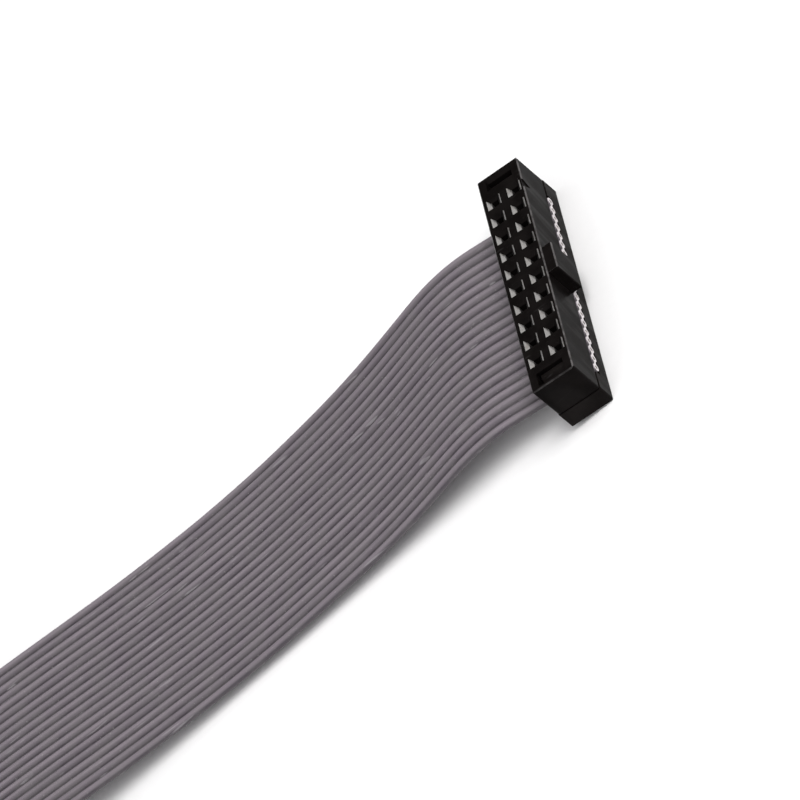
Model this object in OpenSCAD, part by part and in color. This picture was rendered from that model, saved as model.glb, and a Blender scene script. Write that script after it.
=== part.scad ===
// Flat ribbon cable, crimped at each end into a two-row insulation-displacement socket.
// Millimetres. +Z is up and z = 0 is the surface that the cable lies on. The origin is the middle of
// the two sockets on that surface, +X runs along the ribbon to the near socket, and the contact rows
// run along Y, with contact 1 at the +Y end.

/* [Socket] */
// Contact rows along the socket, two contacts in each
rows = 10; // [5:1:13]
// Width of the body across its two columns
body_w = 5.06; // [4.9:0.02:5.4]
// Height of the body, from its base on the ribbon to the mating face
body_h = 4.35; // [4.3:0.05:4.6]
// Width of the cover that clamps the ribbon
cover_w = 5.18; // [5:0.02:5.4]
// Height of the cover
cover_h = 2.28; // [2.2:0.04:3]
// Gap that is left between the body and the pressed-on cover
part_gap = 0.17; // [0.05:0.02:0.21]
// Length of plastic beyond the last contact at each end
end_len = 3.83; // [3.65:0.01:4.5]
// Radius of the upright corners
corner_r = 0.3; // [0.1:0.05:0.6]
// Chamfer around the mating face and the cover's base
edge_c = 0.12; // [0.08:0.02:0.2]

/* [Polarising key] */
// Length of the key along the socket
key_l = 3.6; // [3:0.1:4.5]
// How far the key stands out of the body
key_out = 1.19; // [1:0.01:1.4]

/* [Contacts] */
// Width of the square lead-in at the mating face
mouth_w = 1.55; // [1.4:0.05:1.6]
// Width of the hole below the lead-in
throat_w = 0.8; // [0.75:0.05:0.9]
// Depth of the lead-in
mouth_d = 0.4; // [0.3:0.05:0.5]
// Gap between the two beams where they grip the post
grip_gap = 0.44; // [0.4:0.02:0.56]

/* [Ribbon] */
// Thickness of the ribbon over one insulated wire
wire_d = 0.9; // [0.85:0.05:0.9]
// How far the ribbon's cut end stands out of the socket's side
cut_proud = 0.02; // [0:0.02:0.3]

/* [Lie of the cable] */
// Tilt of the near socket, which leans on the lower edge of its cover
near_tilt = 8.75; // [8.5:0.05:9]

/* [Hidden] */
pitch = 2.54;
wire_pitch = pitch / 2;
ways = 2 * rows;
body_l = (rows - 1) * pitch + 2 * end_len;
cover_top = body_h + part_gap;
socket_h = cover_top + cover_h;
ribbon_w = ways * wire_pitch;
// Depth of the wires' centres below the mating face: the ribbon lies against the body's flat base
wire_z = body_h + wire_d / 2;
ribbon_base = body_h + wire_d;
// The cover's channel is a little wider than the ribbon
channel_l = ribbon_w + 0.12;
// A cut overshoots its face by this much, and pieces that pass each other keep this clearance
over = 0.1;
gap = 0.03;

// Places of the two sockets' mating-face centres
near_x = 96;
far_x = -97.2;
lean_x = cover_w / 2 - edge_c;
near_z = lean_x * sin(near_tilt) + socket_h * cos(near_tilt);
far_z = socket_h;

// Key: it stops short of the mating face and of the cover
key_drop = 0.12;
key_foot = 0.1;
key_c = 0.1;

// Mark beside contact 1: a triangular notch in the key side, open at the mating face
mark_l = 1.2;
mark_h = 1.3;
mark_d = 0.15;

// Cover's latch legs and the slots they rise through, flared outwards at the mating face
leg_w = 2.7;
leg_t = 0.6;
leg_y = body_l / 2 - 1.93;
hook_out = 0.38;
hook_top = 0.45;
hook_flat = 0.5;
hook_drop = 0.6;
ledge_z = 1.7;
slot_w = 3.16;
slot_wall = 0.73;
slot_flare = 0.4;
slot_gap = 0.08;

// Contact: sheet metal bent to a U, with a forked blade under it
beam_t = 0.15;
beam_w = throat_w - 2 * gap;
beam_x = 0.4;
drop_z = 0.95;
grip_z = 1.75;
bend_z = 2.6;
floor_z = 3.4;
chamber_x = beam_x + beam_t + 0.07;
blade_t = 0.3;
blade_root = 4.15;
tine_end = wire_z + 0.78;
tine_tip = wire_z + 0.38;
tine_w = 0.32;
fork_gap = 0.3;
fork_w = fork_gap + 2 * tine_w;
pocket_z = tine_end + 0.25;

// Ribbon's section: a flat bar with round edges
edge_steps = [90, 54, 18, -18, -54, -90];

// Ribbon's route between the sockets: [x, z, roll], the roll in degrees about the ribbon's own run
lie = [
  [90.5, 3.1, 0], [88, 3.7, 0], [85.5, 4.1, 0], [83, 4.1, 0], [80.5, 3.85, 0],
  [77.5, 3.35, 0.2], [74, 2.75, 0.4], [70, 2.15, 0.75], [66, 1.7, 1.2], [62, 1.4, 1.6],
  [58, 1.2, 1.9], [53, 1, 2.15], [48, 0.98, 2.3], [43, 1.08, 2.4], [38, 1.35, 2.4],
  [33, 1.7, 2.4], [28, 2.15, 2.3], [23, 2.7, 2.2], [17, 3.35, 2], [10, 4, 1.6],
  [2, 4.3, 1.2], [-6, 4.2, 0.8], [-14, 3.7, 0.5], [-22, 2.8, 0.2], [-30, 1.85, 0],
  [-38, 1.1, 0], [-46, 0.65, 0], [-54, 0.5, 0], [-66, 0.48, 0], [-76, 0.48, 0],
  [-81, 0.65, 0], [-85, 1, 0], [-88.5, 1.45, 0], [-91.5, 1.82, 0]
];
// Straight stretch through the near socket, across it from the cut end to just outside
run = [cover_w / 2 + cut_proud, -cover_w / 2 - 0.1, -cover_w / 2 - 0.9];

function near_point(x) = [
  near_x + x * cos(near_tilt) - wire_z * sin(near_tilt),
  near_z - x * sin(near_tilt) - wire_z * cos(near_tilt),
  0
];
function far_point(x) = [far_x + x, far_z - wire_z, 0];
route = concat(
  [for (x = run) near_point(x)],
  lie,
  [for (i = [2:-1:0]) far_point(-run[i])]
);

function pair(i) = [1, -1][i % 2];
function contact_x(i) = -pair(i) * pitch / 2;
function contact_y(i) = ((rows - 1) / 2 - floor(i / 2)) * pitch;
function wire_y(i) = ((ways - 1) / 2 - i) * wire_pitch;

$fn = 48;

// A socket stands on its cover with its mating face at z = 0 of its own frame, key towards +X.
module near_place() {
  translate([near_x, 0, near_z]) rotate([0, near_tilt, 0]) children();
}
module far_place() {
  translate([far_x, 0, far_z]) children();
}

// Outline of a block from above, with round corners
module plan(w, l) {
  square([w, l - 2 * corner_r], center = true);
  square([w - 2 * corner_r, l], center = true);
  for (x = [-1, 1], y = [-1, 1])
    translate([x * (w / 2 - corner_r), y * (l / 2 - corner_r)]) circle(corner_r);
}

// Rectangle from z = low to z = high, its upper corners cut by top and its lower ones by base
module chamfered(w, low, high, top, base) {
  polygon([
    [-w / 2 + base, low], [w / 2 - base, low], [w / 2, low + base], [w / 2, high - top],
    [w / 2 - top, high], [-w / 2 + top, high], [-w / 2, high - top], [-w / 2, low + base]
  ]);
}

// Draws an outline in (x, z) and extrudes it along Y
module along_y(l) {
  rotate([90, 0, 0]) linear_extrude(l, center = true) children();
}
// Draws an outline in (y, z) and extrudes it along X
module along_x(l) {
  rotate([90, 0, 90]) linear_extrude(l, center = true) children();
}

// Upright block with round corners, its upper edges chamfered by top and its lower ones by base
module block(w, l, low, high, top, base) {
  intersection() {
    translate([0, 0, low]) linear_extrude(high - low) plan(w, l);
    along_y(l + 1) chamfered(w, low, high, top, base);
    along_x(w + 1) chamfered(l, low, high, top, base);
  }
}

// Key on the +X side
module key() {
  x0 = body_w / 2 - 0.3;
  x1 = body_w / 2 + key_out;
  intersection() {
    translate([0, 0, -body_h + key_foot]) linear_extrude(body_h - key_foot - key_drop)
      polygon([
        [x0, -key_l / 2], [x1 - key_c, -key_l / 2], [x1, -key_l / 2 + key_c],
        [x1, key_l / 2 - key_c], [x1 - key_c, key_l / 2], [x0, key_l / 2]
      ]);
    along_y(key_l + 1) polygon([
      [x0, -body_h], [x1, -body_h], [x1, -key_drop - edge_c], [x1 - edge_c, -key_drop], [x0, -key_drop]
    ]);
  }
}

// Notch beside contact 1, on the key side
module mark() {
  translate([body_w / 2, contact_y(0), 0]) along_x(2 * mark_d)
    polygon([[0, -mark_h], [mark_l / 2, 0], [mark_l / 2, over], [-mark_l / 2, over], [-mark_l / 2, 0]]);
}

// Room for one contact: the lead-in, the chamber under it and the slot for the forked blade
module cavity(side) {
  lead_x = mouth_w / 2 + beam_t;
  lead_z = mouth_d + 0.05;
  slope = (mouth_w - throat_w) / 2 / mouth_d;
  intersection() {
    along_y(2 * mouth_w) polygon([
      [-lead_x - over, over], [lead_x + over, over], [chamber_x, -lead_z], [-chamber_x, -lead_z]
    ]);
    along_x(2 * mouth_w) polygon([
      [-mouth_w / 2 - over * slope, over], [mouth_w / 2 + over * slope, over],
      [throat_w / 2, -mouth_d], [throat_w / 2, -lead_z], [-throat_w / 2, -lead_z], [-throat_w / 2, -mouth_d]
    ]);
  }
  translate([-chamber_x, -throat_w / 2 - 0.02, -body_h - over])
    cube([2 * chamber_x, throat_w + 0.04, body_h + over - lead_z + 0.001]);
  far_edge = wire_pitch / 2 + fork_w / 2 + 0.06;
  blade_slot = [blade_t + 0.08, far_edge + beam_w / 2 + 0.06, body_h - floor_z + 0.1 + over];
  mirror([0, side > 0 ? 0 : 1, 0])
    translate([-blade_slot[0] / 2, -beam_w / 2 - 0.06, -body_h - over]) cube(blade_slot);
}

// Slot for one latch leg, narrower below so that the hook has a ledge to catch on
module leg_slot(side) {
  y0 = leg_y - slot_gap;
  y1 = body_l / 2 - slot_wall;
  y_low = leg_y + leg_t + slot_gap;
  mirror([0, side > 0 ? 0 : 1, 0]) along_x(slot_w) polygon([
    [y0, -body_h - over], [y_low, -body_h - over], [y_low, -ledge_z], [y1, -ledge_z],
    [y1, -slot_flare], [y1 + slot_flare + over, over], [y0, over]
  ]);
}

module socket_body() {
  color([0.11, 0.11, 0.115]) difference() {
    union() {
      block(body_w, body_l, -body_h, 0, edge_c, 0);
      key();
    }
    for (i = [0:ways - 1])
      translate([contact_x(i), contact_y(i), 0]) cavity(pair(i));
    for (side = [-1, 1])
      leg_slot(side);
    mark();
  }
}

// Latch leg with an outward hook whose top slopes away from the ribbon
module leg(side) {
  tip_y = leg_y + leg_t + hook_out;
  mirror([0, side > 0 ? 0 : 1, 0]) along_x(leg_w) polygon([
    [leg_y, -cover_top - 0.5], [leg_y + leg_t, -cover_top - 0.5], [leg_y + leg_t, -ledge_z + gap],
    [tip_y, -ledge_z + gap], [tip_y, -hook_top - hook_drop],
    [leg_y + hook_flat, -hook_top], [leg_y, -hook_top]
  ]);
}

module socket_cover() {
  color([0.13, 0.13, 0.135]) difference() {
    union() {
      block(cover_w, body_l, -socket_h, -cover_top, 0, edge_c);
      for (side = [-1, 1])
        leg(side);
    }
    translate([-body_w, -channel_l / 2, -ribbon_base])
      cube([2 * body_w, channel_l, socket_h]);
    for (i = [0:ways - 1])
      translate([contact_x(i) - blade_t / 2 - 0.1, wire_y(i) - fork_w / 2 - 0.06, -pocket_z])
        cube([blade_t + 0.2, fork_w + 0.12, socket_h]);
  }
}

// Sheet-metal contact, its post axis at the origin and its fork over the wire on the given side
module contact(side) {
  top = gap;
  flare = (mouth_w - throat_w) / 2;
  color([0.86, 0.74, 0.46]) {
    intersection() {
      along_y(2 * mouth_w) {
        for (s = [-1, 1])
          polygon([
            [s * mouth_w / 2, -top], [s * beam_x, -mouth_d], [s * beam_x, -drop_z],
            [s * grip_gap / 2, -grip_z], [s * beam_x, -bend_z], [s * beam_x, -floor_z],
            [s * (beam_x + beam_t), -floor_z], [s * (beam_x + beam_t), -bend_z],
            [s * (grip_gap / 2 + beam_t), -grip_z], [s * (beam_x + beam_t), -drop_z],
            [s * (beam_x + beam_t), -mouth_d - 0.04], [s * (mouth_w / 2 + 0.11), -top - 0.05]
          ]);
        translate([-beam_x - beam_t, -floor_z - beam_t]) square([2 * (beam_x + beam_t), beam_t]);
      }
      along_x(2 * mouth_w) polygon([
        [-beam_w / 2, -socket_h], [beam_w / 2, -socket_h], [beam_w / 2, -mouth_d],
        [beam_w / 2 + flare, 0], [-beam_w / 2 - flare, 0], [-beam_w / 2, -mouth_d]
      ]);
    }
    mirror([0, side > 0 ? 0 : 1, 0]) along_x(blade_t) blade_outline();
  }
}

// Forked blade in (y, z): it reaches sideways to the wire and its two tines straddle the conductor
module blade_outline() {
  mid = wire_pitch / 2;
  top = -floor_z - beam_t / 2;
  difference() {
    union() {
      translate([-beam_w / 2, -blade_root]) square([beam_w / 2 + mid + fork_w / 2, top + blade_root]);
      polygon([
        [mid - fork_w / 2, -blade_root], [mid + fork_w / 2, -blade_root],
        [mid + fork_w / 2, -tine_tip], [mid + fork_gap / 2, -tine_end],
        [mid - fork_gap / 2, -tine_end], [mid - fork_w / 2, -tine_tip]
      ]);
    }
    translate([mid - fork_gap / 2, -tine_end - over])
      square([fork_gap, tine_end - blade_root + over]);
  }
}

// Slits that one fork cuts through the ribbon, either side of its conductor
module slits() {
  for (s = [-1, 1])
    translate([0, s * (fork_gap + tine_w) / 2, -wire_z])
      cube([blade_t + 2 * gap, tine_w + 2 * gap, 2 * wire_d], center = true);
}
module all_slits() {
  for (i = [0:ways - 1])
    translate([contact_x(i), wire_y(i), 0]) slits();
}

// Points around the ribbon's section, [across, through], anticlockwise
flat = ribbon_w / 2 - wire_d / 2;
section = [
  for (side = [1, -1]) for (a = edge_steps)
    [side * (flat + wire_d / 2 * cos(a)), -side * wire_d / 2 * sin(a)]
];

// Direction of the route at point i, and the ring of section points there
function run_at(i) =
  let (a = route[max(i - 1, 0)], b = route[min(i + 1, len(route) - 1)], d = [b[0] - a[0], b[1] - a[1]])
  d / norm(d);
function ring(i) =
  let (d = run_at(i), c = route[i], r = c[2], up = [-d[1], d[0]] * (d[0] < 0 ? -1 : 1))
  [for (p = section)
    let (across = p[0] * cos(r) + p[1] * sin(r), rise = p[1] * cos(r) - p[0] * sin(r))
    [c[0] + rise * up[0], across, c[1] + rise * up[1]]
  ];

module swept_ribbon() {
  n = len(section);
  last = len(route) - 1;
  points = [for (i = [0:last]) each ring(i)];
  faces = concat(
    [[for (j = [0:n - 1]) j]],
    [[for (j = [n - 1:-1:0]) last * n + j]],
    [for (i = [0:last - 1]) for (j = [0:n - 1])
      let (k = (j + 1) % n, a = i * n) [a + j, a + n + j, a + n + k]],
    [for (i = [0:last - 1]) for (j = [0:n - 1])
      let (k = (j + 1) % n, a = i * n) [a + j, a + n + k, a + k]]
  );
  polyhedron(points, faces);
}

module ribbon() {
  color([0.5, 0.48, 0.5]) difference() {
    swept_ribbon();
    near_place() all_slits();
    far_place() all_slits();
  }
}

module near_contact(i) {
  near_place() translate([contact_x(i), contact_y(i), 0]) contact(pair(i));
}
module far_contact(i) {
  far_place() translate([contact_x(i), contact_y(i), 0]) contact(pair(i));
}

near_place() socket_body();  // near_body
near_place() socket_cover();  // near_cover
far_place() socket_body();  // far_body
far_place() socket_cover();  // far_cover
ribbon();
for (i = [1:ways]) near_contact(i - 1);
for (i = [1:ways]) far_contact(i - 1);
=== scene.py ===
import math

import bmesh
import bpy
from mathutils import Matrix, Vector


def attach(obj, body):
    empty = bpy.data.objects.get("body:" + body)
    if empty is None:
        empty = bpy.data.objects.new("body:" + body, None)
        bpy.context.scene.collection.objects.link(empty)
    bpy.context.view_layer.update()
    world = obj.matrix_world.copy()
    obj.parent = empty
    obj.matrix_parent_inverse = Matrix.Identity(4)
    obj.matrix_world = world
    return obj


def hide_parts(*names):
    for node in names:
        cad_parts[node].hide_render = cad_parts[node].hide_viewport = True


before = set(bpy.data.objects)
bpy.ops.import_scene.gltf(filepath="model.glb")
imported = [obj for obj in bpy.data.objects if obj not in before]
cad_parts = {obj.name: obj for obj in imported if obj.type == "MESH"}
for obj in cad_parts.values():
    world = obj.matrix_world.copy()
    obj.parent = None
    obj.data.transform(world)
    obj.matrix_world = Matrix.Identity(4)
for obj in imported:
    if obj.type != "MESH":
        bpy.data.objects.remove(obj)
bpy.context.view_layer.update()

MM = 0.001

# ---- sizes shared with the construction, in millimetres unless a name says otherwise ----

WIRES = 20
WIRE_PITCH = 1.27
WIRE_D = 0.9
WEB_HALF = 0.15
BODY_H = 4.35
BODY_L = 30.52
BODY_W = 5.06
COVER_W = 5.18
SOCKET_H = 6.8
EDGE_C = 0.12
WIRE_DEPTH = BODY_H + WIRE_D / 2
CUT_PROUD = 0.02
NEAR_TILT = math.radians(8.75)
NEAR_X = 96.0
FAR_X = -97.2

# Ribbon's route between the sockets: x, z and its roll in degrees
LIE = [
    (90.5, 3.1, 0), (88, 3.7, 0), (85.5, 4.1, 0), (83, 4.1, 0), (80.5, 3.85, 0),
    (77.5, 3.35, 0.2), (74, 2.75, 0.4), (70, 2.15, 0.75), (66, 1.7, 1.2), (62, 1.4, 1.6),
    (58, 1.2, 1.9), (53, 1, 2.15), (48, 0.98, 2.3), (43, 1.08, 2.4), (38, 1.35, 2.4),
    (33, 1.7, 2.4), (28, 2.15, 2.3), (23, 2.7, 2.2), (17, 3.35, 2), (10, 4, 1.6),
    (2, 4.3, 1.2), (-6, 4.2, 0.8), (-14, 3.7, 0.5), (-22, 2.8, 0.2), (-30, 1.85, 0),
    (-38, 1.1, 0), (-46, 0.65, 0), (-54, 0.5, 0), (-66, 0.48, 0), (-76, 0.48, 0),
    (-81, 0.65, 0), (-85, 1, 0), (-88.5, 1.45, 0), (-91.5, 1.82, 0),
]

# Each socket's own frame: origin on its mating face, key towards +X, mating face towards +Z
LEAN_X = COVER_W / 2 - EDGE_C
NEAR_Z = LEAN_X * math.sin(NEAR_TILT) + SOCKET_H * math.cos(NEAR_TILT)
NEAR_PLACE = Matrix.Translation((NEAR_X, 0, NEAR_Z)) @ Matrix.Rotation(NEAR_TILT, 4, "Y")
FAR_PLACE = Matrix.Translation((FAR_X, 0, SOCKET_H))
TO_METRES = Matrix.Scale(MM, 4)


# ---- camera, lights and floor ----

def make_camera():
    """A long lens that looks down on the near socket with the picture turned on its side."""
    aim = Vector((74.33, 2.67, 3.094)) * MM
    azimuth, elevation, roll = math.radians(31.85), math.radians(35.06), math.radians(-60.81)
    distance = 0.5958
    data = bpy.data.cameras.new("camera")
    data.lens = 263.94
    data.sensor_width = 36
    data.clip_start = 0.01
    camera = bpy.data.objects.new("camera", data)
    bpy.context.scene.collection.objects.link(camera)
    turn = Matrix.Rotation(azimuth, 4, "Z") @ Matrix.Rotation(math.pi / 2 - elevation, 4, "X")
    turn = turn @ Matrix.Rotation(roll, 4, "Z")
    camera.matrix_world = Matrix.Translation(aim) @ turn @ Matrix.Translation((0, 0, distance))
    bpy.context.scene.camera = camera


def make_light(name, towards, distance, size, watts, tint):
    """A softbox that faces the near socket from the direction it lies in."""
    data = bpy.data.lights.new(name, "AREA")
    data.shape = "RECTANGLE"
    data.size, data.size_y = size
    data.energy = watts
    data.color = tint
    light = bpy.data.objects.new(name, data)
    bpy.context.scene.collection.objects.link(light)
    away = Vector(towards).normalized()
    light.location = Vector((0.09, 0, 0.005)) + away * distance
    light.rotation_euler = (-away).to_track_quat("-Z", "Y").to_euler()
    light.visible_camera = False


def make_room():
    """An even white tent for diffuse light, seen in reflections as a pale horizon under a dark top."""
    world = bpy.data.worlds.new("studio")
    bpy.context.scene.world = world
    world.use_nodes = True
    tree = world.node_tree
    sight = add_node(tree, "ShaderNodeTexCoord").outputs["Generated"]
    height = add_node(tree, "ShaderNodeSeparateXYZ", {"Vector": sight}).outputs["Z"]
    seen = add_node(tree, "ShaderNodeMapRange", {
        "Value": height, "From Min": 0.1, "From Max": 0.45, "To Min": 0.14, "To Max": 0.05,
    }, interpolation_type="SMOOTHSTEP").outputs["Result"]
    ray = add_node(tree, "ShaderNodeLightPath").outputs["Is Glossy Ray"]
    level = add_node(tree, "ShaderNodeMix", {"Factor": ray, "A": 0.55, "B": seen}).outputs["Result"]
    background = tree.nodes["Background"]
    background.inputs["Color"].default_value = (0.98, 0.98, 1, 1)
    tree.links.new(level, background.inputs["Strength"])


def make_studio():
    bpy.context.scene.view_settings.view_transform = "Standard"
    make_room()
    make_light("softbox_above", (0.75, -0.2, 1.0), 0.9, (0.6, 0.6), 7.5, (1, 0.99, 0.98))
    make_light("softbox_left", (-0.25, -0.85, 0.75), 0.9, (0.6, 0.6), 1.2, (1, 0.99, 0.98))
    make_light("window", (0.64, 0.66, 0.42), 0.8, (0.3, 0.46), 0.27, (1, 1, 1))


def make_floor(material):
    bm = bmesh.new()
    bmesh.ops.create_grid(bm, x_segments=1, y_segments=1, size=6)
    floor = finish_piece(bm, "floor", [material])


# ---- mesh helpers ----

def finish_piece(bm, name, materials):
    """Turns a bmesh into an object at the origin with those materials."""
    mesh = bpy.data.meshes.new(name)
    bm.to_mesh(mesh)
    bm.free()
    for material in materials:
        mesh.materials.append(material)
    piece = bpy.data.objects.new(name, mesh)
    bpy.context.scene.collection.objects.link(piece)
    return piece


def ride_root(piece):
    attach(piece, "root")


def wire_y(i):
    return ((WIRES - 1) / 2 - i) * WIRE_PITCH


# ---- ribbon ----

def route_points():
    """Route with its roll: straight through the near socket, along the lie, straight through the far one."""
    inside = (COVER_W / 2 + CUT_PROUD, -COVER_W / 2 - 0.1, -COVER_W / 2 - 0.9)
    near = [NEAR_PLACE @ Vector((x, 0, -WIRE_DEPTH)) for x in inside]
    far = [FAR_PLACE @ Vector((-x, 0, -WIRE_DEPTH)) for x in reversed(inside)]
    points = [(p.x, p.z, 0.0) for p in near] + LIE + [(p.x, p.z, 0.0) for p in far]
    return [Vector(p) for p in points]


def smooth_route(points, step):
    """Catmull-Rom curve through the points, a ring about every step, eased where it is free to bend."""
    ends = [points[0] * 2 - points[1]] + points + [points[-1] * 2 - points[-2]]
    out = []
    for a, b, c, d in zip(ends, ends[1:], ends[2:], ends[3:]):
        knots = [0.0]
        for p, q in ((a, b), (b, c), (c, d)):
            knots.append(knots[-1] + math.sqrt(math.hypot(q.x - p.x, q.y - p.y)))
        count = max(1, round(math.hypot(c.x - b.x, c.y - b.y) / step))
        for i in range(count):
            t = knots[1] + (knots[2] - knots[1]) * i / count
            ab = a.lerp(b, (t - knots[0]) / (knots[1] - knots[0]))
            bc = b.lerp(c, (t - knots[1]) / (knots[2] - knots[1]))
            cd = c.lerp(d, (t - knots[2]) / (knots[3] - knots[2]))
            abc = ab.lerp(bc, (t - knots[0]) / (knots[2] - knots[0]))
            bcd = bc.lerp(cd, (t - knots[1]) / (knots[3] - knots[1]))
            out.append(abc.lerp(bcd, (t - knots[1]) / (knots[2] - knots[1])))
    out.append(points[-1])
    held, passes = 7, 6
    for _ in range(passes):
        eased = [(p + q * 2 + r) / 4 for p, q, r in zip(out, out[1:], out[2:])]
        out = out[:held] + eased[held - 1:len(out) - held - 1] + out[-held:]
    return out


def section_points():
    """Ribbed section of the ribbon, across and through: twenty round wires joined by thin webs."""
    first, last, count = math.radians(24), math.radians(156), 7
    arc = [first + (last - first) * i / (count - 1) for i in range(count)]
    upper = []
    for i in range(WIRES):
        upper += [(wire_y(i) + WIRE_D / 2 * math.cos(a), WIRE_D / 2 * math.sin(a)) for a in arc]
        if i < WIRES - 1:
            upper.append((wire_y(i) - WIRE_PITCH / 2, WEB_HALF))
    side = [math.radians(a) for a in (-12, 0, 12)]
    right = [(wire_y(0) + WIRE_D / 2 * math.cos(a), WIRE_D / 2 * math.sin(a)) for a in side]
    lower = [(y, -z) for y, z in reversed(upper)]
    left = [(-y, z) for y, z in reversed(right)]
    return right + upper + left + lower


def station_frames(route):
    """One frame for each ring: X along the run, Y across the ribbon and Z out of its face."""
    frames = []
    for i, p in enumerate(route):
        a, b = route[max(i - 1, 0)], route[min(i + 1, len(route) - 1)]
        run = Vector((b.x - a.x, 0, b.y - a.y)).normalized()
        across, up = Vector((0, 1, 0)), Vector((-run.z, 0, run.x))
        if up.z < 0:
            up = -up
        roll = math.radians(p.z)
        side = across * math.cos(roll) - up * math.sin(roll)
        face = up * math.cos(roll) + across * math.sin(roll)
        station = Matrix((run, side, face)).transposed().to_4x4()
        station.translation = Vector((p.x, 0, p.y))
        frames.append(station)
    return frames


def cut_end(bm, outline, station, inward):
    """Closes one cut end: the sawn vinyl with a bore sunk in it round each conductor."""
    bore_d, bore_deep, sides = 0.38, 0.14, 16
    rims = []
    for i in range(WIRES):
        turned = Matrix.Translation((0, wire_y(i), 0)) @ Matrix.Rotation(math.pi / 2, 4, "Y")
        rim = bmesh.ops.create_circle(bm, segments=sides, radius=bore_d / 2, matrix=turned)["verts"]
        bmesh.ops.transform(bm, matrix=station, verts=rim)
        rims.append(list({e for v in rim for e in v.link_edges}))
    loops = outline + [e for rim in rims for e in rim]
    filled = bmesh.ops.triangle_fill(bm, edges=loops, use_beauty=True)["geom"]
    for face in filled:
        if isinstance(face, bmesh.types.BMFace):
            face.material_index = 1
    depth = (station.to_3x3() @ Vector((inward, 0, 0))) * bore_deep
    for rim in rims:
        grown = bmesh.ops.extrude_edge_only(bm, edges=rim)["geom"]
        floor_verts = [g for g in grown if isinstance(g, bmesh.types.BMVert)]
        floor_edges = [g for g in grown if isinstance(g, bmesh.types.BMEdge)]
        bmesh.ops.translate(bm, vec=depth, verts=floor_verts)
        walls = [g for g in grown if isinstance(g, bmesh.types.BMFace)]
        for face in walls + bmesh.ops.edgeloop_fill(bm, edges=rim_of(floor_edges, floor_verts))["faces"]:
            face.material_index = 2


def rim_of(edges, verts):
    """Those edges that have both ends among the verts."""
    members = set(verts)
    return [e for e in edges if members.issuperset(e.verts)]


def make_ribbon(materials):
    frames = station_frames(smooth_route(route_points(), 1.0))
    bm = bmesh.new()
    run_at = bm.verts.layers.float.new("run")
    across_at = bm.verts.layers.float.new("across")
    ring = [bm.verts.new((0, y, z)) for y, z in section_points()]
    for v in ring:
        v[across_at] = v.co.y
    loop = [bm.edges.new((a, b)) for a, b in zip(ring, ring[1:] + ring[:1])]
    bmesh.ops.transform(bm, matrix=frames[0], verts=ring)
    first_loop = list(loop)
    length = 0.0
    for old, new in zip(frames, frames[1:]):
        grown = bmesh.ops.extrude_edge_only(bm, edges=loop)["geom"]
        verts = [g for g in grown if isinstance(g, bmesh.types.BMVert)]
        loop = rim_of([g for g in grown if isinstance(g, bmesh.types.BMEdge)], verts)
        bmesh.ops.transform(bm, matrix=new @ old.inverted(), verts=verts)
        length += (new.translation - old.translation).length
        for v in verts:
            v[run_at] = length
    cut_end(bm, first_loop, frames[0], 1)
    cut_end(bm, loop, frames[-1], -1)
    bmesh.ops.recalc_face_normals(bm, faces=bm.faces)
    uv = bm.loops.layers.uv.new("ribbon")
    for face in bm.faces:
        face.smooth = face.material_index == 0
        for corner in face.loops:
            corner[uv].uv = (corner.vert[run_at], corner.vert[across_at])
    bmesh.ops.transform(bm, matrix=TO_METRES, verts=bm.verts)
    ribbon = finish_piece(bm, "ribbon_sleeve", materials)
    ride_root(ribbon)
    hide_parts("ribbon")
    return frames


def make_conductor_ends(frames, material):
    """Seven strands in the bore of each wire where the ribbon was cut."""
    strand_d, strand_l, sunk, twist = 0.11, 0.2, 0.03, 0.7
    lay = [(0.0, 0.0)]
    lay += [(strand_d * math.cos(a), strand_d * math.sin(a)) for a in [math.tau * i / 6 for i in range(6)]]
    bm = bmesh.new()
    for station, inward in ((frames[0], 1), (frames[-1], -1)):
        middle = inward * (sunk + strand_l / 2)
        for i in range(WIRES):
            spin = Matrix.Rotation(i * twist, 4, "X")
            for dy, dz in lay:
                strand = bmesh.ops.create_cone(
                    bm, cap_ends=True, segments=8, radius1=strand_d / 2, radius2=strand_d * 0.42,
                    depth=strand_l, matrix=Matrix.Rotation(-inward * math.pi / 2, 4, "Y"))["verts"]
                at = spin @ Vector((0, dy, dz)) + Vector((middle, wire_y(i), 0))
                bmesh.ops.translate(bm, vec=at, verts=strand)
                bmesh.ops.transform(bm, matrix=station, verts=strand)
    bmesh.ops.transform(bm, matrix=TO_METRES, verts=bm.verts)
    ride_root(finish_piece(bm, "conductor_ends", [material]))


# ---- sockets ----

def make_moulding(node, name, place, edge, material):
    """A copy of a moulded part, its sharp edges rounded and those around the mating face marked for a lighter
    edge that is partly wear and partly a painted highlight.
    """
    back = (TO_METRES @ place).inverted()
    bm = bmesh.new()
    bm.from_mesh(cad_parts[node].data)
    edge_wear_and_highlight_at = bm.faces.layers.float.new("lightened")
    bmesh.ops.remove_doubles(bm, verts=bm.verts, dist=1e-6)
    bmesh.ops.dissolve_limit(bm, angle_limit=math.radians(1), verts=bm.verts, edges=bm.edges)
    sharp = [e for e in bm.edges if len(e.link_faces) == 2 and e.calc_face_angle() > math.radians(20)]
    bmesh.ops.bevel(bm, geom=sharp, offset=edge * MM, offset_type="OFFSET", segments=2, profile=0.5,
                    affect="EDGES", clamp_overlap=True, material=-1)
    for face in bm.faces:
        at, facing = back @ face.calc_center_median(), (back.to_3x3() @ face.normal).normalized()
        outer = abs(at.x) > BODY_W / 2 - 0.2 or abs(at.y) > BODY_L / 2 - 0.2
        if outer and at.z > -0.3 and 0.1 < facing.z < 0.99:
            # The mark is partly wear and partly a painted highlight; the +X edge, where the painted highlight
            # is strongest, gets it in full.
            face[edge_wear_and_highlight_at] = 1.0 if at.x > 0 else 0.3
        face.smooth = True
    piece = finish_piece(bm, name, [material])
    normals = piece.modifiers.new("flat_faces", "WEIGHTED_NORMAL")
    normals.weight = 100
    normals.keep_sharp = True
    ride_root(piece)
    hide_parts(node)


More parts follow.
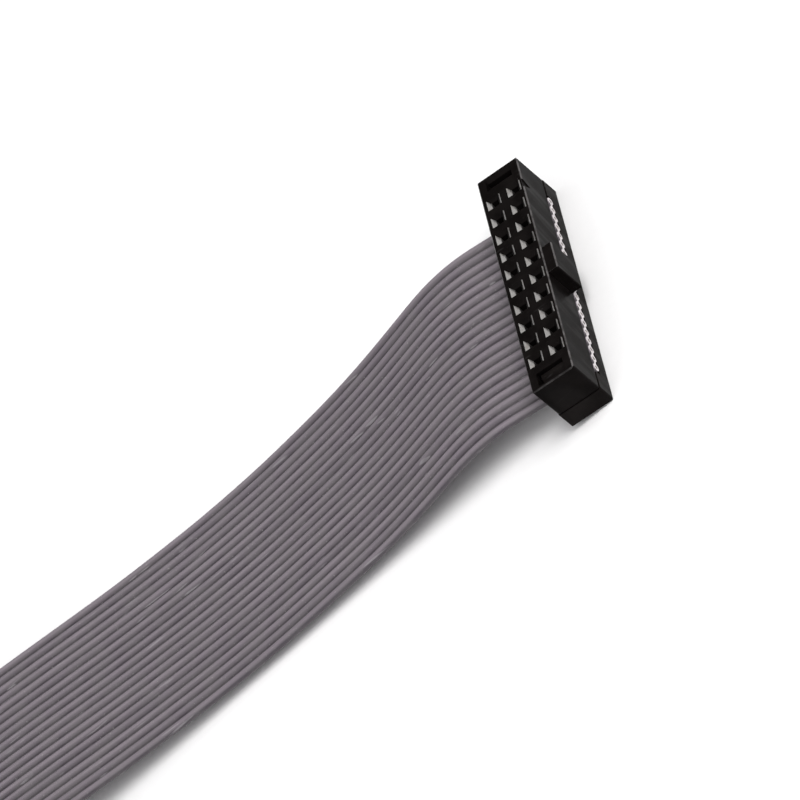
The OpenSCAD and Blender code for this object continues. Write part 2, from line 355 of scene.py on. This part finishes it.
def dress_contacts(material):
    for end in ("near", "far"):
        for i in range(1, WIRES + 1):
            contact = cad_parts[f"{end}_contact_{i}"]
            contact.data.materials.clear()
            contact.data.materials.append(material)


# ---- node helpers ----

def add_node(tree, kind, values=None, **settings):
    """Adds a node; each of values fills an input of that name, or feeds it from another node's output."""
    node = tree.nodes.new(kind)
    for name, value in settings.items():
        setattr(node, name, value)
    for name, value in (values or {}).items():
        fill(tree, node.inputs[name], value)
    return node


def fill(tree, socket, value):
    if isinstance(value, bpy.types.NodeSocket):
        tree.links.new(value, socket)
    else:
        socket.default_value = value


def calc(tree, operation, *values):
    """A Math node on one, two or three values or outputs."""
    node = tree.nodes.new("ShaderNodeMath")
    node.operation = operation
    for socket, value in zip(node.inputs, values):
        fill(tree, socket, value)
    return node.outputs["Value"]


def ramp(tree, value, low, high, start=0.0, end=1.0):
    """Value from low..high turned smoothly into start..end, and held outside it."""
    return add_node(tree, "ShaderNodeMapRange", {
        "Value": value, "From Min": low, "From Max": high, "To Min": start, "To Max": end,
    }, interpolation_type="SMOOTHSTEP").outputs["Result"]


def noise(tree, at, scale, detail=2.0, roughness=0.5):
    return add_node(tree, "ShaderNodeTexNoise", {
        "Vector": at, "Scale": scale, "Detail": detail, "Roughness": roughness,
    }).outputs["Fac"]


def stretched(tree, at, turn, scale):
    """Coordinates turned and then scaled, for grain that runs one way."""
    return add_node(tree, "ShaderNodeMapping", {
        "Vector": at, "Rotation": turn, "Scale": scale}).outputs["Vector"]


def blend(tree, factor, a, b):
    """Colour between a and b."""
    node = add_node(tree, "ShaderNodeMix", data_type="RGBA")
    fill(tree, node.inputs[0], factor)
    for socket, value in ((node.inputs[6], a), (node.inputs[7], b)):
        fill(tree, socket, value if isinstance(value, bpy.types.NodeSocket) else (*value, 1))
    return node.outputs[2]


def new_group(name, inputs, outputs):
    """A shader node group with those sockets; returns it with its input and output nodes."""
    group = bpy.data.node_groups.new(name, "ShaderNodeTree")
    kinds = {"value": "NodeSocketFloat", "vector": "NodeSocketVector"}
    for socket, kind in inputs.items():
        group.interface.new_socket(name=socket, in_out="INPUT", socket_type=kinds[kind])
    for socket, kind in outputs.items():
        group.interface.new_socket(name=socket, in_out="OUTPUT", socket_type=kinds[kind])
    return group, group.nodes.new("NodeGroupInput"), group.nodes.new("NodeGroupOutput")


def place_group(tree, group, values):
    return add_node(tree, "ShaderNodeGroup", values, node_tree=group)


# ---- shared effects ----

def grain_group():
    """Fine spark-eroded grain with a slow mottle under it. Position is in metres."""
    group, given, out = new_group("mould_grain", {"Position": "vector", "Grain": "value"},
                                  {"Height": "value", "Mottle": "value"})
    at = given.outputs["Position"]
    fine = noise(group, at, given.outputs["Grain"], 3.0, 0.6)
    slow = noise(group, at, 420.0, 3.0, 0.55)
    fill(group, out.inputs["Height"], calc(group, "MULTIPLY_ADD", slow, 0.35, fine))
    fill(group, out.inputs["Mottle"], ramp(group, slow, 0.35, 0.65))
    return group


def flow_group():
    """Slanting bands that the melt left across a moulding."""
    group, given, out = new_group("melt_flow", {"Position": "vector"}, {"Bands": "value"})
    turned = stretched(group, given.outputs["Position"], (math.radians(14), 0, 0), (1, 1, 1))
    bands = noise(group, stretched(group, turned, (0, 0, 0), (0.5, 1.0, 0.14)), 560.0, 2.0, 0.45)
    fill(group, out.inputs["Bands"], ramp(group, bands, 0.44, 0.64))
    return group


def scuff_group():
    """Hair-thin rubs from handling, in two directions, that come and go."""
    group, given, out = new_group("handling_scuffs", {"Position": "vector", "Amount": "value"},
                                  {"Mask": "value"})
    at = given.outputs["Position"]
    masks = []
    for turn, scale in ((0.5, 2600.0), (-0.9, 2100.0)):
        lines = noise(group, stretched(group, at, (turn, turn, turn), (0.05, 1.0, 1.0)), scale, 1.0)
        masks.append(ramp(group, lines, 0.68, 0.74))
    patches = ramp(group, noise(group, at, 260.0, 2.0), 0.48, 0.62)
    both = calc(group, "MAXIMUM", masks[0], masks[1])
    shown = calc(group, "MULTIPLY", both, patches)
    fill(group, out.inputs["Mask"], calc(group, "MULTIPLY", shown, given.outputs["Amount"]))
    return group


def lint_group():
    """Specks of dust that settle on what faces up."""
    group, given, out = new_group("settled_dust", {"Position": "vector", "Amount": "value"},
                                  {"Mask": "value"})
    up = group.nodes.new("ShaderNodeNewGeometry").outputs["Normal"]
    lift = add_node(group, "ShaderNodeSeparateXYZ", {"Vector": up}).outputs["Z"]
    specks = ramp(group, noise(group, given.outputs["Position"], 5200.0, 1.0), 0.7, 0.76)
    film = noise(group, given.outputs["Position"], 700.0, 3.0)
    dust = calc(group, "MULTIPLY_ADD", film, 0.25, specks)
    facing = calc(group, "MULTIPLY", dust, ramp(group, lift, 0.2, 0.9))
    fill(group, out.inputs["Mask"], calc(group, "MULTIPLY", facing, given.outputs["Amount"]))
    return group


def ribs_group():
    """Wires across the ribbon: a painted-shade mask for the webs and outer edges, a tone for each wire and
    streaks along it. UV is in mm.
    """
    group, given, out = new_group("ribbon_ribs", {"UV": "vector"},
                                  {"Painted_shade": "value", "Tone": "value", "Streak": "value"})
    parts = add_node(group, "ShaderNodeSeparateXYZ", {"Vector": given.outputs["UV"]})
    run, across = parts.outputs["X"], parts.outputs["Y"]
    wires = calc(group, "MULTIPLY_ADD", across, 1 / WIRE_PITCH, WIRES / 2)
    off = calc(group, "ABSOLUTE", calc(group, "SUBTRACT", calc(group, "FRACT", wires), 0.5))
    # Painted shade on the ribbon's two outer edges, whose sides face away from the light.
    side = ramp(group, calc(group, "ABSOLUTE", across), 12.3, 12.5, 0.0, 0.9)
    fill(group, out.inputs["Painted_shade"], calc(group, "MAXIMUM", ramp(group, off, 0.08, 0.48), side))
    number = calc(group, "FLOOR", wires)
    tone = add_node(group, "ShaderNodeTexWhiteNoise", {"W": number}, noise_dimensions="1D")
    fill(group, out.inputs["Tone"], tone.outputs["Value"])
    along = add_node(group, "ShaderNodeCombineXYZ", {
        "X": calc(group, "MULTIPLY", run, 0.045), "Y": calc(group, "MULTIPLY", across, 2.6)})
    fill(group, out.inputs["Streak"], noise(group, along.outputs["Vector"], 1.0, 3.0, 0.6))
    return group


# ---- materials ----

def new_material(name, slot_values):
    """A Principled material with its constant values set; returns it with its tree and surface."""
    material = bpy.data.materials.new(name)
    material.use_nodes = True
    surface = material.node_tree.nodes["Principled BSDF"]
    for socket, value in slot_values.items():
        surface.inputs[socket].default_value = value
    return material, material.node_tree, surface


def object_place(tree):
    return add_node(tree, "ShaderNodeTexCoord").outputs["Object"]


def add_bump(tree, surface, height, strength, distance):
    bump = add_node(tree, "ShaderNodeBump", {"Height": height, "Strength": strength, "Distance": distance})
    tree.links.new(bump.outputs["Normal"], surface.inputs["Normal"])


def black_moulding(name, groups, dark, light, gloss, scuffs):
    """Black glass-filled polyester: gloss is its lowest and highest roughness."""
    material, tree, surface = new_material(name, {})
    at = object_place(tree)
    grain = place_group(tree, groups["grain"], {"Position": at, "Grain": 9500.0})
    flow = place_group(tree, groups["flow"], {"Position": at}).outputs["Bands"]
    rubs = place_group(tree, groups["scuffs"], {"Position": at, "Amount": scuffs}).outputs["Mask"]
    dust = place_group(tree, groups["lint"], {"Position": at, "Amount": 0.05}).outputs["Mask"]
    # Marked mating edges get a lighter, glossier finish: partly wear, partly a painted highlight along the
    # edges.
    edge = add_node(tree, "ShaderNodeAttribute", attribute_name="lightened").outputs["Fac"]
    edge_wear_and_highlight = calc(tree, "MULTIPLY", edge, ramp(tree, noise(tree, at, 1300.0, 3.0), 0.35, 0.62, 0.45, 1.0))
    body = blend(tree, grain.outputs["Mottle"], dark, light)
    lightened = blend(tree, rubs, body, (0.03, 0.028, 0.028))
    dusty = blend(tree, dust, lightened, (0.16, 0.15, 0.14))
    fill(tree, surface.inputs["Base Color"], blend(tree, edge_wear_and_highlight, dusty, (0.085, 0.08, 0.08)))
    dull = ramp(tree, grain.outputs["Mottle"], 0.0, 1.0, gloss[0], gloss[1])
    dull = calc(tree, "MULTIPLY_ADD", rubs, 0.2, dull)
    fill(tree, surface.inputs["Roughness"], dull)
    sheen = calc(tree, "MULTIPLY_ADD", flow, 0.016, 0.012)
    fill(tree, surface.inputs["Specular IOR Level"], calc(tree, "MULTIPLY_ADD", edge_wear_and_highlight, 0.4, sheen))
    add_bump(tree, surface, grain.outputs["Height"], 0.25, 0.00001)
    return material


def grey_vinyl(groups):
    """Extruded grey vinyl: each wire has its own tone, with painted shade darkening the webs between wires
    and the ribbon's outer edges.
    """
    material, tree, surface = new_material("grey_vinyl", {"Specular IOR Level": 0.4})
    uv = add_node(tree, "ShaderNodeUVMap", uv_map="ribbon").outputs["UV"]
    at = object_place(tree)
    ribs = place_group(tree, groups["ribs"], {"UV": uv})
    grain = place_group(tree, groups["grain"], {"Position": at, "Grain": 7000.0})
    rubs = place_group(tree, groups["scuffs"], {"Position": at, "Amount": 0.5}).outputs["Mask"]
    dust = place_group(tree, groups["lint"], {"Position": at, "Amount": 0.3}).outputs["Mask"]
    shade = calc(tree, "MULTIPLY_ADD", ribs.outputs["Streak"], 0.8, calc(tree, "MULTIPLY",
                 ribs.outputs["Tone"], 0.35))
    ridge = blend(tree, ramp(tree, shade, 0.25, 0.95), (0.166, 0.142, 0.166), (0.218, 0.187, 0.214))
    # Painted shade: the webs and outer edges are darkened toward near black.
    web_shaded = blend(tree, calc(tree, "MULTIPLY", ribs.outputs["Painted_shade"], 0.9), ridge, (0.028, 0.023, 0.029))
    mottled = blend(tree, calc(tree, "MULTIPLY", grain.outputs["Mottle"], 0.18), web_shaded, (0.15, 0.148, 0.14))
    lightened = blend(tree, rubs, mottled, (0.3, 0.285, 0.3))
    fill(tree, surface.inputs["Base Color"], blend(tree, dust, lightened, (0.4, 0.39, 0.38)))
    fill(tree, surface.inputs["Roughness"], ramp(tree, ribs.outputs["Streak"], 0.3, 0.7, 0.4, 0.56))
    height = calc(tree, "MULTIPLY_ADD", ribs.outputs["Streak"], 1.5, grain.outputs["Height"])
    add_bump(tree, surface, height, 0.4, 0.00001)
    return material


def cut_vinyl(groups):
    """Sheared vinyl, paler than the skin and torn a little by the blade."""
    material, tree, surface = new_material("cut_vinyl", {"Specular IOR Level": 0.3})
    at = object_place(tree)
    grain = place_group(tree, groups["grain"], {"Position": at, "Grain": 12000.0})
    tears = noise(tree, stretched(tree, at, (0, 0, 0), (1.0, 1.0, 0.2)), 9000.0, 2.0)
    fill(tree, surface.inputs["Base Color"],
         blend(tree, ramp(tree, tears, 0.35, 0.65), (0.5, 0.465, 0.475), (0.7, 0.67, 0.675)))
    fill(tree, surface.inputs["Roughness"], ramp(tree, tears, 0.3, 0.7, 0.5, 0.8))
    add_bump(tree, surface, calc(tree, "ADD", grain.outputs["Height"], tears), 0.6, 0.00002)
    return material


def shaded_bore_wall(groups):
    """Inside of a wire's sleeve, darkened far below the sleeve's grey as painted shade in the bore."""
    material, tree, surface = new_material("shaded_bore_wall", {"Roughness": 0.8, "Specular IOR Level": 0.2})
    grain = place_group(tree, groups["grain"], {"Position": object_place(tree), "Grain": 12000.0})
    fill(tree, surface.inputs["Base Color"],
         blend(tree, grain.outputs["Mottle"], (0.05, 0.045, 0.047), (0.12, 0.108, 0.11)))
    return material


def bare_strand(groups):
    """Copper strand, dulled and smeared where the blade cut it."""
    material, tree, surface = new_material("copper_strand", {"Metallic": 1.0})
    at = object_place(tree)
    grain = place_group(tree, groups["grain"], {"Position": at, "Grain": 14000.0})
    fill(tree, surface.inputs["Base Color"],
         blend(tree, grain.outputs["Mottle"], (0.42, 0.38, 0.35), (0.66, 0.61, 0.56)))
    fill(tree, surface.inputs["Roughness"], ramp(tree, grain.outputs["Mottle"], 0.0, 1.0, 0.35, 0.6))
    add_bump(tree, surface, grain.outputs["Height"], 0.4, 0.00001)
    return material


def plated_contact(groups):
    """Plated phosphor bronze with the strip's rolling lines, dull on sheared tips, with leads facing -X
    darkened as painted shade.
    """
    material, tree, surface = new_material("plated_contact", {"Metallic": 1.0})
    at = object_place(tree)
    grain = place_group(tree, groups["grain"], {"Position": at, "Grain": 8000.0})
    lines = noise(tree, stretched(tree, at, (0, 0, 0), (1.0, 0.06, 1.0)), 16000.0, 2.0)
    tarnish = ramp(tree, noise(tree, at, 1500.0, 3.0), 0.45, 0.75)
    plate = blend(tree, ramp(tree, lines, 0.3, 0.7), (0.66, 0.64, 0.62), (0.8, 0.785, 0.765))
    spotted = blend(tree, calc(tree, "MULTIPLY", tarnish, 0.45), plate, (0.46, 0.41, 0.35))
    normal = tree.nodes.new("ShaderNodeNewGeometry").outputs["Normal"]
    facing = add_node(tree, "ShaderNodeSeparateXYZ", {"Vector": normal})
    # Painted shade: lead faces turned toward -X are darkened toward near black.
    minus_x_shade = ramp(tree, facing.outputs["X"], -0.5, -0.2, 0.9, 0.0)
    sheared = ramp(tree, facing.outputs["Z"], 0.85, 0.93, 0.0, 0.9)
    dull = calc(tree, "MAXIMUM", minus_x_shade, sheared)
    fill(tree, surface.inputs["Base Color"], blend(tree, dull, spotted, (0.07, 0.063, 0.058)))
    fill(tree, surface.inputs["Roughness"], ramp(tree, lines, 0.3, 0.7, 0.26, 0.38))
    add_bump(tree, surface, calc(tree, "ADD", lines, grain.outputs["Height"]), 0.3, 0.000006)
    return material


def floor_card():
    """Matt white card."""
    material, tree, surface = new_material("white_card", {"Roughness": 0.9, "Specular IOR Level": 0.1})
    fibre = noise(tree, object_place(tree), 900.0, 3.0)
    fill(tree, surface.inputs["Base Color"], blend(tree, fibre, (0.89, 0.89, 0.89), (0.92, 0.92, 0.92)))
    return material


# ---- the whole object ----

make_camera()
make_studio()
groups = {"grain": grain_group(), "flow": flow_group(), "scuffs": scuff_group(),
          "lint": lint_group(), "ribs": ribs_group()}

ring_frames = make_ribbon([grey_vinyl(groups), cut_vinyl(groups), shaded_bore_wall(groups)])
make_conductor_ends(ring_frames, bare_strand(groups))
body_black = black_moulding(
    "black_body", groups, (0.0036, 0.0029, 0.0028), (0.0062, 0.0051, 0.0049), (0.28, 0.36), 0.4)
cover_black = black_moulding(
    "black_cover", groups, (0.006, 0.0049, 0.0046), (0.0093, 0.0077, 0.0073), (0.32, 0.4), 0.6)
for end, place in (("near", NEAR_PLACE), ("far", FAR_PLACE)):
    make_moulding(f"{end}_body", f"{end}_socket_body", place, 0.04, body_black)
    make_moulding(f"{end}_cover", f"{end}_socket_cover", place, 0.04, cover_black)
dress_contacts(plated_contact(groups))
make_floor(floor_card())
